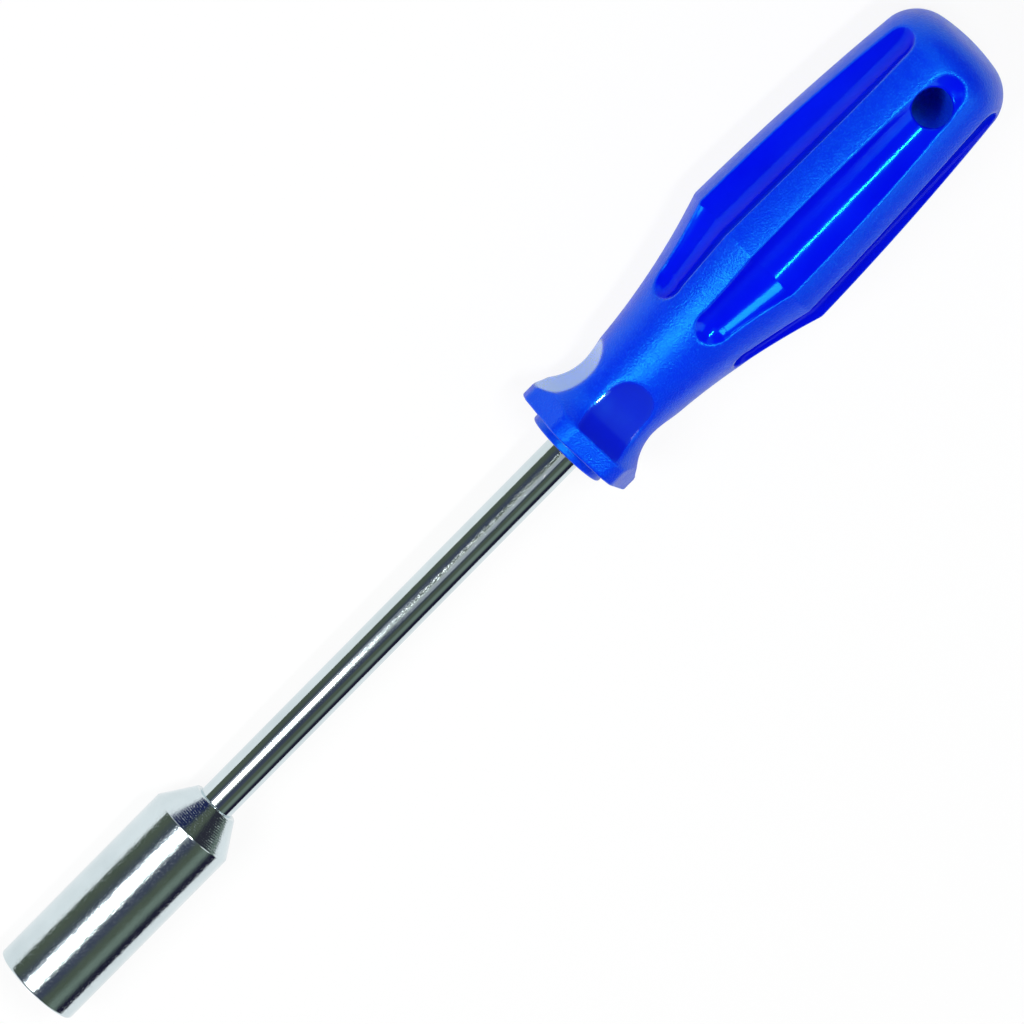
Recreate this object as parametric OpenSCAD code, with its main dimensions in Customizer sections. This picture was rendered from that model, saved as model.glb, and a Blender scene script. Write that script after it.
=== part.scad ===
// Nut driver: a turned hexagon socket on a round shaft that is moulded into a fluted handle.
// The tool lies along +X, with the centre of the socket's mouth at the origin.
// +Z runs up the hanging hole, so that the tool rests on the two ribs beside a flute.

/* [Socket] */
// Size of the nut across its flats
nut_af = 10; // [9:0.5:11.5]
// Play of the nut in the hexagon, across the flats
nut_play = 0.15; // [0.05:0.05:0.3]
// Depth of the hexagon from the mouth
hex_depth = 18; // [10:0.5:24]
// Width of the lead-in bevel beyond the hexagon's corners
lead_in = 0.35; // [0.1:0.05:0.5]
// Diameter of the stud bore behind the hexagon
stud_d = 8.6; // [7:0.1:8.8]
// Depth of the stud bore from the mouth
stud_depth = 28; // [24:0.5:29]
// Point angle at the bottom of the stud bore
drill_angle = 118; // [100:1:140]
// Outside diameter of the head
socket_d = 15.6; // [15:0.1:18]
// Length of the head from its mouth to its rear ring
socket_l = 42.5; // [41:0.5:58]
// Length of the conical shoulder
shoulder_l = 5.6; // [4:0.1:8]
// Diameter of the rear ring at the small end of the shoulder
ring_d = 8.4; // [8.2:0.1:10]
// Rounding of the mouth's outer edge
mouth_round = 0.5; // [0.2:0.05:0.6]

/* [Shaft] */
// Diameter of the shaft
shaft_d = 6.5; // [5:0.1:7]
// Blade length from the socket's mouth to the front face of the handle
blade_l = 126; // [80:1:250]
// Depth of the shaft in the socket
seat_depth = 10; // [6:0.5:11]
// Depth of the shaft in the handle, from its front face
tail_l = 58; // [45:1:70]
// Width over the swaged wings of the tail
wing_w = 10; // [8.5:0.1:12]
// Thickness of a wing
wing_t = 2.8; // [2:0.1:4]
// Length of a wing along the shaft
wing_l = 9; // [6:0.5:12]
// Bare length beside each pair of wings
wing_gap = 5; // [3:0.5:8]
// Bevel at both ends of the shaft
shaft_bevel = 0.6; // [0.2:0.1:1]
// Room round the shaft in the socket and in the handle
seat_fit = 0.02; // [0.01:0.01:0.05]
// Bevel where the shaft enters the socket's rear ring
seat_bevel = 0.3; // [0.1:0.05:0.5]

/* [Handle outline] */
// Length of the handle from its front face to its rear end
handle_l = 91.8; // [90:0.2:104]
// Diameter of the collar round the shaft
collar_d = 14.6; // [9:0.1:16]
// Length of the collar in front of the front face
collar_l = 1.7; // [0.6:0.1:3]
// Diameter of the guard over its trimmed corners
guard_d = 23; // [22.2:0.1:26]
// Width of the guard across its flats
guard_af = 21.2; // [20:0.1:22]
// Length of the guard's band
guard_l = 3.5; // [2.5:0.1:5]
// Bevel of the front edges of the guard and the collar
front_bevel = 0.4; // [0.2:0.1:0.8]
// Diameter of the waist
waist_d = 17; // [15:0.1:19]
// Place of the waist behind the front face
waist_at = 10.8; // [9.8:0.1:13]
// Diameter at the crease, where the handle is widest
crease_d = 28.9; // [28:0.1:32]
// Place of the crease behind the front face
crease_at = 43; // [40:0.2:47]
// Radius of the hollow taper between the waist and the crease
taper_r = 120; // [90:5:220]
// Radius of the long swell between the crease and the rear end
barrel_r = 500; // [300:10:900]
// Diameter that the swell would reach at the rear end
rear_d = 22.4; // [21:0.1:25]
// Rounding of the rear edge
rear_round = 7.2; // [5:0.1:8]
// Radius of the domed rear end
dome_r = 33; // [25:1:60]

/* [Handle cuts] */
// Number of flutes in the grip
flute_n = 6; // [5:1:6]
// Width of a flute at the crease
flute_w = 9.3; // [8:0.1:10.4]
// Section radius of a flute at the crease
flute_r = 7; // [5.3:0.1:9]
// Place of the centre of the front ball of a flute
flute_front_at = 30; // [28:0.2:33]
// Width of a flute at its front ball
flute_front_w = 5.9; // [5:0.1:7.6]
// Radius of the front ball
flute_front_r = 5; // [3.9:0.1:7]
// Place of the centre of the rear ball of a flute
flute_rear_at = 83.8; // [78:0.2:84]
// Width of a flute at its rear ball
flute_rear_w = 6.3; // [5.4:0.1:8]
// Radius of the rear ball
flute_rear_r = 7; // [4:0.1:8]
// Number of scoops round the neck
scoop_n = 4; // [2:2:4]
// Radius of a scoop along the neck
scoop_r = 9.2; // [8.6:0.1:11]
// Depth of a scoop below the waist
scoop_depth = 1.2; // [0.6:0.1:1.6]
// Place of the deepest point of a scoop behind the front face
scoop_at = 10.5; // [10:0.1:10.8]
// Diameter of the hanging hole
hole_d = 6.7; // [5:0.1:7.2]
// Distance of the hanging hole's centre from the rear end
hole_from_end = 11.5; // [10:0.1:15]

/* [Hidden] */
// Fineness of the drawn curves, and of the long arcs of the handle's outline
$fa = 3;
$fs = 0.4;
arc_steps = 240;
// Straight steps along the taper, and along the swell
outline_steps = 8;
// Depth by which one drawn curve is set into the next, so that they cross cleanly
seam_sink = 0.01;
// Share of a ball's radius that a flute's cone has at the centre of the ball
nose_share = 0.995;
// Reach of every cut past the face that it leaves
overrun = 1;
// Share of a wing's length that has its full width
wing_flat_share = 0.5;
// Share of the guard's diameter by which a cut flat reaches out
flat_reach_share = 0.5;

// Sides of the guard, and half the angle that one side of a hexagon spans
guard_sides = 6;
hex_side_angle = 30;
hex_af = nut_af + nut_play;
hex_r = hex_af / 2 / cos(hex_side_angle);
lead_r = hex_r + lead_in;
socket_r = socket_d / 2;
shaft_start = socket_l - seat_depth;
shaft_end = blade_l + tail_l;

guard_r = guard_d / 2;
waist_r = waist_d / 2;
crease_r = crease_d / 2;
hole_at = handle_l - hole_from_end;

// The points of the handle's outline are [radius, place behind the front face].
crease = [crease_r, crease_at];
// Flare from the guard's rear corner down to the waist, level at the waist
flare_run = waist_at - guard_l;
flare_rise = guard_r - waist_r;
flare_r = (flare_run ^ 2 + flare_rise ^ 2) / (2 * flare_rise);
flare_c = [waist_r + flare_r, waist_at];
// Hollow taper through the crease, tangent to the flare
taper_c = meet(crease, taper_r, flare_c, taper_r - flare_r);
taper_start = reach(taper_c, flare_c, taper_r);
// Midway between the waist and the flutes the neck goes over into the grip, half a step deep
grip_start_at = (waist_at + flute_front_at) / 2;
front_end_at = grip_start_at + (crease_at - grip_start_at) / outline_steps / 2;
// Swell from the crease towards the rear corner
barrel_c = meet(crease, barrel_r, [rear_d / 2, handle_l], barrel_r);
dome_c = [0, handle_l - dome_r];
// Rear rounding, tangent to the swell and to the dome
rear_c = meet(barrel_c, barrel_r - rear_round, dome_c, dome_r - rear_round);
rear_start = reach(barrel_c, rear_c, barrel_r);
rear_finish = reach(dome_c, rear_c, dome_r);

// Centres of a flute's end balls and of its section at the crease, outside the grip
flute_front = [flute_height(taper_at(flute_front_at), flute_front_w, flute_front_r), flute_front_at];
flute_mid = [flute_height(crease_r, flute_w, flute_r), crease_at];
flute_rear = [flute_height(barrel_at(flute_rear_at), flute_rear_w, flute_rear_r), flute_rear_at];

// Point at given distances from p and q, on the left of the line from p to q
function meet(p, p_dist, q, q_dist) =
    let (gap = norm(q - p))
    let (along = (p_dist ^ 2 - q_dist ^ 2 + gap ^ 2) / (2 * gap))
    let (across = sqrt(p_dist ^ 2 - along ^ 2))
    let (way = (q - p) / gap)
    p + along * way + across * [-way[1], way[0]];

// Point at a given distance from p on the line through q
function reach(p, q, dist) = p + (q - p) / norm(q - p) * dist;

// Radius of the hollow taper and of the swell at a place behind the front face
function taper_at(u) = taper_c[0] - sqrt(taper_r ^ 2 - (u - taper_c[1]) ^ 2);
function barrel_at(u) = barrel_c[0] + sqrt(barrel_r ^ 2 - (u - barrel_c[1]) ^ 2);

// Places after one and up to another, in even steps
function steps(from, to) = [for (i = [1 : outline_steps]) from + (to - from) * i / outline_steps];

// Distance from the axis of a cutter of radius r that opens a groove of width w
function flute_height(grip_r, w, r) = sqrt(grip_r ^ 2 - (w / 2) ^ 2) + sqrt(r ^ 2 - (w / 2) ^ 2);

// Children repeated evenly round the axis
module around(n) {
    for (i = [0 : n - 1])
        rotate([0, 0, i * 360 / n])
            children();
}

module disc(centre, r) {
    translate(centre)
        circle(r = r, $fn = arc_steps);
}

// Rectangle from the axis out to a radius, between two places along the axis
module strip(r, from, to) {
    translate([0, from])
        square([r, to - from]);
}

// Half section of a short cylinder with a bevelled front edge
module bevelled_front(r, from, to) {
    polygon([
        [0, from], [r - front_bevel, from], [r, from + front_bevel], [r, to], [0, to]
    ]);
}

// Half section of the handle's front: collar, guard, flare and the start of the taper
module front_outline() {
    difference() {
        union() {
            bevelled_front(collar_d / 2, -collar_l, guard_l);
            bevelled_front(guard_r, 0, guard_l);
            strip(guard_r, guard_l, front_end_at);
        }
        intersection() {
            disc(flare_c, flare_r + seam_sink);
            strip(flare_c[0], 0, taper_start[1] + overrun);
        }
        intersection() {
            disc(taper_c, taper_r);
            strip(flare_c[0], taper_start[1], front_end_at + overrun);
        }
    }
}

// Half section of the grip: the rest of the taper and the swell, drawn in short straight steps
module grip_outline() {
    polygon([
        [0, grip_start_at],
        [taper_at(grip_start_at) - seam_sink, grip_start_at],
        for (u = steps(grip_start_at, crease_at)) [taper_at(u), u],
        for (u = steps(crease_at, rear_start[1])) [barrel_at(u), u],
        [0, rear_start[1]]
    ]);
}

// Half section of the rounded and domed rear end
module rear_outline() {
    intersection() {
        disc(dome_c, dome_r);
        strip(rear_finish[0], crease_at, handle_l);
    }
    intersection() {
        disc(rear_c, rear_round + seam_sink);
        strip(crease_r, crease_at, handle_l);
    }
}

// Half section of a cone that widens to mid_r over a run and starts in a ball of radius end_r
module nosed_outline(run, end_r, mid_r) {
    polygon([[0, 0], [end_r * nose_share, 0], [mid_r, run], [0, run]]);
    intersection() {
        disc([0, 0], end_r);
        strip(end_r, -end_r, end_r);
    }
}

// Half of a flute, from the ball at one end to the crease
module flute_half(end, end_r) {
    span = flute_mid - end;
    translate([end[0], 0, end[1]])
        rotate([0, atan2(span[0], span[1]), 0])
            rotate_extrude()
                nosed_outline(norm(span), end_r, flute_r);
}

// Round-nosed groove that bends with the grip at the crease
module flute() {
    flute_half(flute_front, flute_front_r);
    flute_half(flute_rear, flute_rear_r);
}

// Cut that leaves one flat of the guard
module guard_flat() {
    translate([guard_af / 2, -guard_r, -overrun])
        cube([guard_d * flat_reach_share, guard_d, waist_at + overrun]);
}

// Thumb scoop across the neck
module scoop() {
    translate([waist_r - scoop_depth + scoop_r, 0, scoop_at])
        rotate([90, 0, 0])
            cylinder(r = scoop_r, h = guard_d, center = true);
}

module hanging_hole() {
    translate([0, 0, hole_at])
        rotate([0, 90, 0])
            cylinder(d = hole_d, h = crease_d, center = true);
}

// Pair of wings swaged out of the shaft, seen as a hexagonal plate across it
module wing_pair(grow) {
    w = wing_w / 2 + grow;
    l = wing_l / 2 + grow;
    flat = l * wing_flat_share;
    rotate([90, 0, 0])
        linear_extrude(height = wing_t + 2 * grow, center = true)
            polygon([[0, -l], [w, -flat], [w, flat], [0, l], [-w, flat], [-w, -flat]]);
}

// The shaft, or with grow the room that it takes up in what holds it
module shaft_body(grow = 0) {
    r = shaft_d / 2 + grow;
    from = shaft_start - grow;
    to = shaft_end + grow;
    rotate_extrude()
        polygon([
            [0, from], [r - shaft_bevel, from], [r, from + shaft_bevel],
            [r, to - shaft_bevel], [r - shaft_bevel, to], [0, to]
        ]);
    for (i = [0 : 1])
        translate([0, 0, shaft_end - wing_gap - wing_l / 2 - i * (wing_l + wing_gap)])
            rotate([0, 0, i * 90])
                wing_pair(grow);
}

module socket_outline() {
    polygon([
        [0, 0], [socket_r - mouth_round, 0], [socket_r, mouth_round],
        [socket_r, socket_l - shoulder_l], [ring_d / 2, socket_l], [0, socket_l]
    ]);
    disc([socket_r - mouth_round, mouth_round], mouth_round);
}

// Hexagon, lead-in, stud bore and drill point, cut from the mouth
module nut_recess() {
    rotate([0, 0, hex_side_angle])
        translate([0, 0, -overrun])
            cylinder(r = hex_r, h = hex_depth + overrun, $fn = 6);
    translate([0, 0, -overrun])
        cylinder(r1 = lead_r + overrun, r2 = hex_af / 2, h = lead_r - hex_af / 2 + overrun);
    translate([0, 0, hex_depth - overrun])
        cylinder(d = stud_d, h = stud_depth - hex_depth + overrun);
    translate([0, 0, stud_depth])
        cylinder(d1 = stud_d, d2 = 0, h = stud_d / 2 / tan(drill_angle / 2));
}

// Bevelled entry of the shaft in the rear ring
module seat_entry() {
    r = shaft_d / 2 + seat_fit;
    translate([0, 0, socket_l - seat_bevel])
        cylinder(r1 = r, r2 = r + seat_bevel + overrun, h = seat_bevel + overrun);
}

// Turns a piece that is modelled up the Z axis to lie along +X
module lay() {
    rotate([0, 90, 0])
        children();
}

module handle() {
    color([0.02, 0.24, 0.92])
        lay()
            difference() {
                translate([0, 0, blade_l])
                    difference() {
                        rotate_extrude() {
                            front_outline();
                            grip_outline();
                            rear_outline();
                        }
                        around(guard_sides)
                            guard_flat();
                        around(scoop_n)
                            scoop();
                        around(flute_n)
                            flute();
                        hanging_hole();
                    }
                shaft_body(seat_fit);
            }
}

module shaft() {
    color([0.78, 0.79, 0.8])
        lay()
            shaft_body();
}

module socket() {
    color([0.85, 0.86, 0.88])
        lay()
            difference() {
                rotate_extrude()
                    socket_outline();
                nut_recess();
                shaft_body(seat_fit);
                seat_entry();
            }
}

handle();
shaft();
socket();
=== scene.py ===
# %% [markdown]
# A nut driver is three things on the bench: a turned steel head with a hexagon in its mouth, a
# plated rod, and a plastic handle moulded round the end of the rod. The CAD model already holds
# every size. This lesson loads it as a fixed frame, spins a finer skin for each of the three,
# gives each skin its finish, and photographs the tool on a white table.

# %% Load the frame
import math

import bpy
import numpy as np
from mathutils import Matrix, Vector


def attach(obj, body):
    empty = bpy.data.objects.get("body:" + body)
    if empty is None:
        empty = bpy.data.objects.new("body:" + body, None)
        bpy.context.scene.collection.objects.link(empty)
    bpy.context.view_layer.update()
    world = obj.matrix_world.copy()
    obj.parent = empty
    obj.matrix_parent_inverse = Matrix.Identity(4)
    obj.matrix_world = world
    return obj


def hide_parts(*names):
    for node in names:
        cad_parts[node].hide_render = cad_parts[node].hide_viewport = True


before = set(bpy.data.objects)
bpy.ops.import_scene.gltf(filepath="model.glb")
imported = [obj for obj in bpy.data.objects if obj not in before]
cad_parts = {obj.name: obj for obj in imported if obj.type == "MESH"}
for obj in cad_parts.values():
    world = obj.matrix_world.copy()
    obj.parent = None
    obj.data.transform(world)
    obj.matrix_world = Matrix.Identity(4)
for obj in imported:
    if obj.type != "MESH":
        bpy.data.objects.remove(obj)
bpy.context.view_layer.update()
MM = 0.001
print("nodes", sorted(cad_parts))

# %% [markdown]
# All three pieces are round about one axis, so all three can be made as on a lathe: a row of rings
# along the axis, each ring a loop of points, and a quad between every two neighbours. Blender's
# Screw modifier does the same for a plain outline. Here the rings are made in code, because a ring
# of the handle isn't round: the flutes bite into it.

# %% Rings and quads
def ring_angles(columns):
    return np.arange(columns) * (2 * math.pi / columns)


def ring(x, radius, angles):
    radius = np.broadcast_to(radius, angles.shape)
    x = np.broadcast_to(x, angles.shape)
    return np.stack([x, radius * np.sin(angles), radius * np.cos(angles)], axis=1)


def ring_quads(first, second, columns):
    here = np.arange(columns)
    following = (here + 1) % columns
    return np.stack([first + here, second + here, second + following, first + following], axis=1)


def spin(name, rings):
    """A closed skin over rings from one pole to the other. Both ends are flat little caps."""
    columns = len(rings[0])
    points = np.concatenate(rings)
    faces = []
    for row in range(len(rings) - 1):
        faces += ring_quads(row * columns, (row + 1) * columns, columns).tolist()
    faces.append(list(range(columns))[::-1])
    faces.append(list(range(len(points) - columns, len(points))))
    return skin(name, points, faces)


def skin(name, points, faces):
    mesh = bpy.data.meshes.new(name)
    mesh.from_pydata((points * MM).tolist(), [], faces)
    mesh.shade_smooth()
    piece = bpy.data.objects.new(name, mesh)
    bpy.context.scene.collection.objects.link(piece)
    print(name, "has", len(points), "points and", len(faces), "faces")
    return piece


# %% Rounded corners of an outline
def corner_arc(centre, radius, start, finish, count):
    """Points (x, r) on an arc, by the angle from the +X direction towards larger r."""
    turn = np.radians(np.linspace(start, finish, count))
    return [(centre[0] + radius * math.cos(t), centre[1] + radius * math.sin(t)) for t in turn]


def soft_min(a, b, fillet):
    """The smaller of two heights, with the corner between them rounded off."""
    near = np.maximum(fillet - np.abs(a - b), 0) / fillet
    return np.minimum(a, b) - near * near * fillet / 4


def ease(t):
    t = np.clip(t, 0, 1)
    return t * t * (3 - 2 * t)


# %% [markdown]
# The handle is one moulding. Its outline goes from the guard down a hollow flare to the waist, up a
# long hollow taper to the crease, where it is widest, and down a long swell to the rounded end. The
# radius at any place is a formula, the same arcs that the CAD outline is drawn with. A formula is
# better here than modelling by hand, because the flutes and scoops can be cut out of it as numbers.

# %% Sizes of the handle's outline
BLADE_L = 126.0
HANDLE_L = 91.8
COLLAR_R = 7.3
COLLAR_L = 1.7
GUARD_R = 11.5
GUARD_FLAT = 10.6
GUARD_L = 3.5
WAIST_R = 8.5
WAIST_AT = 10.8
CREASE_R = 14.45
CREASE_AT = 43.0
TAPER_R = 120.0
SWELL_R = 500.0
REAR_R = 11.2
REAR_ROUND = 7.2
DOME_R = 33.0


# %% Centres of the outline's arcs
def meet(first, first_dist, second, second_dist):
    """The point (radius, place) at given distances from two points, to the left of the way between."""
    gap = np.linalg.norm(second - first)
    along = (first_dist**2 - second_dist**2 + gap**2) / (2 * gap)
    across = math.sqrt(first_dist**2 - along**2)
    way = (second - first) / gap
    return first + along * way + across * np.array([-way[1], way[0]])


def reach(start, target, dist):
    """The point at a distance from start, on the way to target."""
    return start + (target - start) / np.linalg.norm(target - start) * dist


flare_run = WAIST_AT - GUARD_L
flare_rise = GUARD_R - WAIST_R
flare_r = (flare_run**2 + flare_rise**2) / (2 * flare_rise)
crease = np.array([CREASE_R, CREASE_AT])
flare_c = np.array([WAIST_R + flare_r, WAIST_AT])
taper_c = meet(crease, TAPER_R, flare_c, TAPER_R - flare_r)
taper_start = reach(taper_c, flare_c, TAPER_R)
swell_c = meet(crease, SWELL_R, np.array([REAR_R, HANDLE_L]), SWELL_R)
dome_c = np.array([0.0, HANDLE_L - DOME_R])
rear_c = meet(swell_c, SWELL_R - REAR_ROUND, dome_c, DOME_R - REAR_ROUND)
rear_start = reach(swell_c, rear_c, SWELL_R)
rear_finish = reach(dome_c, rear_c, DOME_R)
print("rear rounding from", rear_start.round(2), "to", rear_finish.round(2))

# %% Radius of the uncut moulding
GUARD_FILLET = 0.5
CREASE_FILLET = 0.12


def arc_out(centre, radius, u):
    return centre[0] + np.sqrt(np.maximum(radius**2 - (u - centre[1]) ** 2, 0))


def arc_in(centre, radius, u):
    return centre[0] - np.sqrt(np.maximum(radius**2 - (u - centre[1]) ** 2, 0))


def moulding_radius(u):
    """u is the place behind the front face of the guard, in mm."""
    neck = np.where(u < taper_start[1], arc_in(flare_c, flare_r, u), arc_in(taper_c, TAPER_R, u))
    guard = soft_min(np.full_like(u, GUARD_R), neck, GUARD_FILLET)
    grip = soft_min(neck, arc_out(swell_c, SWELL_R, u), CREASE_FILLET)
    rear = np.where(u < rear_finish[1], arc_out(rear_c, REAR_ROUND, u), arc_out(dome_c, DOME_R, u))
    body = np.where(u > WAIST_AT, grip, guard)
    return np.where(u > rear_start[1], rear, body)


print("radius at the waist and the crease", moulding_radius(np.array([WAIST_AT, CREASE_AT])).round(2))

# %% [markdown]
# Six flutes run along the grip. Each is the path of a ball-nosed cutter that bends at the crease: a
# cone from a small ball at the front up to the crease, and a second cone down to a ball at the rear.
# Along a line from the axis outwards, the cutter is met where a quadratic is zero, so the floor of a
# flute is exact. Each cone starts a hair thinner than its ball, so that the two never touch along a
# line, and where no cutter comes the floor lies far outside the tool. A boolean would cut the same
# shape, but it would leave sharp and ragged edges.

# %% Sizes of the flutes
FLUTES = 6
FLUTE_R = 7.0
FLUTE_W = 9.3
FRONT_BALL_R = 5.0
FRONT_BALL_W = 5.9
FRONT_BALL_AT = 30.0
REAR_BALL_R = 7.0
REAR_BALL_W = 6.3
REAR_BALL_AT = 83.8
NOSE_SHARE = 0.995
UNCUT = 99.0


def cutter_height(grip_r, width, radius):
    half = width / 2
    return math.sqrt(grip_r**2 - half**2) + math.sqrt(radius**2 - half**2)


front_grip = float(arc_in(taper_c, TAPER_R, FRONT_BALL_AT))
rear_grip = float(arc_out(swell_c, SWELL_R, REAR_BALL_AT))
front_ball = (cutter_height(front_grip, FRONT_BALL_W, FRONT_BALL_R), FRONT_BALL_AT)
rear_ball = (cutter_height(rear_grip, REAR_BALL_W, REAR_BALL_R), REAR_BALL_AT)
flute_bend = (cutter_height(CREASE_R, FLUTE_W, FLUTE_R), CREASE_AT)
print("cutter heights", round(front_ball[0], 2), round(flute_bend[0], 2), round(rear_ball[0], 2))


# %% Floor of a flute
def half_flute(spread, u, ball, ball_r):
    """Radius where half a flute is met, at an angle from the flute's middle and a place u."""
    height, place = ball
    run = math.hypot(flute_bend[0] - height, flute_bend[1] - place)
    rise = (flute_bend[0] - height) / run
    along = (flute_bend[1] - place) / run
    start_r = ball_r * NOSE_SHARE
    growth = (FLUTE_R - start_r) / run
    lean = 1 + growth**2
    tilt = np.cos(spread) * rise
    base = (u - place) * along - height * rise
    apart = height**2 + (u - place) ** 2
    a = 1 - lean * tilt**2
    b = -2 * np.cos(spread) * height - 2 * lean * tilt * base - 2 * start_r * growth * tilt
    c = apart - lean * base**2 - 2 * start_r * growth * base - start_r**2
    inside = b * b - 4 * a * c
    cone = np.where(inside > 0, (-b - np.sqrt(np.maximum(inside, 0))) / (2 * a), UNCUT)
    cone = np.where(tilt * cone + base > 0, cone, UNCUT)
    mid = np.cos(spread) * height
    inside = mid**2 - apart + ball_r**2
    sphere = np.where(inside > 0, mid - np.sqrt(np.maximum(inside, 0)), UNCUT)
    return np.minimum(cone, sphere)


def angle_from_nearest(theta, count):
    pitch = 2 * math.pi / count
    return (theta + pitch / 2) % pitch - pitch / 2


def flute_floor(theta, u):
    spread = angle_from_nearest(theta, FLUTES)
    front = half_flute(spread, u, front_ball, FRONT_BALL_R)
    rear = half_flute(spread, u, rear_ball, REAR_BALL_R)
    return np.minimum(front, rear)


print("floor of a flute at the crease", flute_floor(np.zeros(1), np.full(1, CREASE_AT)).round(2))

# %% [markdown]
# The guard has six flats, and four thumb scoops are sunk into the neck behind it. A flat is a plane
# and a scoop is a cylinder laid across the neck, so both are short formulas too. Where two surfaces
# meet, soft_min leaves a small radius, as every mould does: these radii catch the light on the real
# handle. The same step notes how deep each point was cut, because the cut faces are polished and
# the ribs are not.

# %% Skin of the handle
GUARD_FLATS = 6
FLAT_FILLET = 0.25
SCOOPS = 4
SCOOP_R = 9.2
SCOOP_AT = 10.5
SCOOP_DEPTH = 1.2
SCOOP_FILLET = 0.45
FLUTE_FILLET = 0.5
POLISH_FROM = -0.05
POLISH_OVER = 0.3


def scoop_floor(theta, u):
    off = SCOOP_R**2 - (u - SCOOP_AT) ** 2
    height = WAIST_R - SCOOP_DEPTH + SCOOP_R - np.sqrt(np.maximum(off, 0))
    floor = height / np.cos(angle_from_nearest(theta, SCOOPS))
    return np.where(off > 0, floor, UNCUT)


def handle_skin(theta, u):
    """Radius and polish of the handle's outside at an angle and a place."""
    body = moulding_radius(u)
    flat = GUARD_FLAT / np.cos(angle_from_nearest(theta, GUARD_FLATS))
    body = soft_min(body, np.where(u < WAIST_AT, flat, UNCUT), FLAT_FILLET)
    scoop = scoop_floor(theta, u)
    flute = flute_floor(theta, u)
    polish = ease((body - np.minimum(scoop, flute) - POLISH_FROM) / POLISH_OVER)
    body = soft_min(body, scoop, SCOOP_FILLET)
    return soft_min(body, flute, FLUTE_FILLET), polish


scoop_r = handle_skin(np.zeros(1), np.full(1, SCOOP_AT))[0]
print("floor of a scoop", scoop_r.round(2), "mm from the axis")

# %% [markdown]
# The skin is a grid of rings and columns. Both stand closer together where the shape turns quickly:
# the columns at the edges of the flutes, counted in degrees from a flute's middle, and the rings at the
# guard, at the front ends of the flutes, at the crease, at the hole and at the rounded end.

# %% Columns of the handle's rings
SECTOR = 360 // FLUTES
EDGE_FROM = 13
EDGE_TO = 21
EDGE_STEP = 0.4

near_half = np.concatenate([
    np.arange(0, EDGE_FROM),
    np.arange(EDGE_FROM, EDGE_TO, EDGE_STEP),
    np.arange(EDGE_TO, SECTOR // 2),
])
far_half = SECTOR - np.append(near_half, SECTOR // 2)[:0:-1]
sector = np.concatenate([near_half, far_half])
handle_angles = np.radians(np.concatenate([sector + SECTOR * flute for flute in range(FLUTES)]))
HANDLE_COLUMNS = len(handle_angles)
print(HANDLE_COLUMNS, "columns, closest together at the edges of the flutes")

# %% Places of the handle's rings
FRONT_ROUND = 0.4
HOLE_R = 3.35
HOLE_AT = 80.3
PATCH_REACH = 5.0
END_TURNS = (8, 78)
END_RINGS = 30
END_GAP = 0.1
DOME_RISE = 0.66
DOME_LAST = 0.03
DOME_RINGS = 12

patch_low = HOLE_AT - PATCH_REACH
patch_high = HOLE_AT + PATCH_REACH
# Each row is a place, and the step between the rings from there to the next place.
RING_STEPS = (
    (FRONT_ROUND, 0.4), (2.9, 0.1), (4.5, 0.3), (26, 0.2), (32, 0.4), (42, 0.08), (44, 0.5),
    (patch_low, 0.25), (patch_high, 0),
)

runs = []
for (start, step), (finish, _) in zip(RING_STEPS, RING_STEPS[1:]):
    count = int(round((finish - start) / step))
    runs.append(np.linspace(start, finish, count, endpoint=False))
end_turns = np.radians(np.linspace(*END_TURNS, END_RINGS))
end_places = rear_c[1] + REAR_ROUND * np.sin(end_turns)
end_places = end_places[(end_places > patch_high + END_GAP) & (end_places < rear_finish[1])]
dome_places = HANDLE_L - DOME_RISE * np.linspace(1, DOME_LAST, DOME_RINGS) ** 2
handle_places = np.concatenate([*runs, [patch_high], end_places, dome_places])
print(len(handle_places), "rings over the outside of the handle")

# %% Outside of the handle as a grid
grid_u, grid_theta = np.meshgrid(handle_places, handle_angles, indexing="ij")
grid_r, grid_polish = handle_skin(grid_theta, grid_u)
outside = [
    ring(BLADE_L + u, r, handle_angles)
    for u, r in zip(handle_places, grid_r)
]
print("widest point of the handle", round(float(grid_r.max()), 2), "mm from the axis")

# %% Collar, front face and bore
BORE_R = 3.27
CHAMBER_R = 5.35
CHAMBER_FROM = 29.5
CHAMBER_TO = 58.2
BORE_EDGE = 0.12
INNER_CAP_R = 0.2
FOOT = 0.25
COLLAR_ARC_POINTS = 7
FOOT_ARC_POINTS = 5

inner_path = [
    (CHAMBER_TO, INNER_CAP_R), (CHAMBER_TO, CHAMBER_R), (CHAMBER_FROM, CHAMBER_R),
    (CHAMBER_FROM, BORE_R), (0, BORE_R), (BORE_EDGE - COLLAR_L, BORE_R),
    (-COLLAR_L, BORE_R + BORE_EDGE), (-COLLAR_L, BORE_R + 2 * BORE_EDGE),
    (-COLLAR_L, COLLAR_R - 2 * FRONT_ROUND),
]
collar_c = (FRONT_ROUND - COLLAR_L, COLLAR_R - FRONT_ROUND)
inner_path += corner_arc(collar_c, FRONT_ROUND, 180, 90, COLLAR_ARC_POINTS)
inner_path += corner_arc((-FOOT, COLLAR_R + FOOT), FOOT, -90, 0, FOOT_ARC_POINTS)
front_rings = [ring(BLADE_L + u, r, handle_angles) for u, r in inner_path]
print(len(front_rings), "rings from the chamber to the foot of the collar")

# %% Front edge of the guard
FACE_INSETS = (2.0, 3 * FRONT_ROUND, 1.6 * FRONT_ROUND)
FRONT_TURN = 75
FRONT_RINGS = 6

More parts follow.
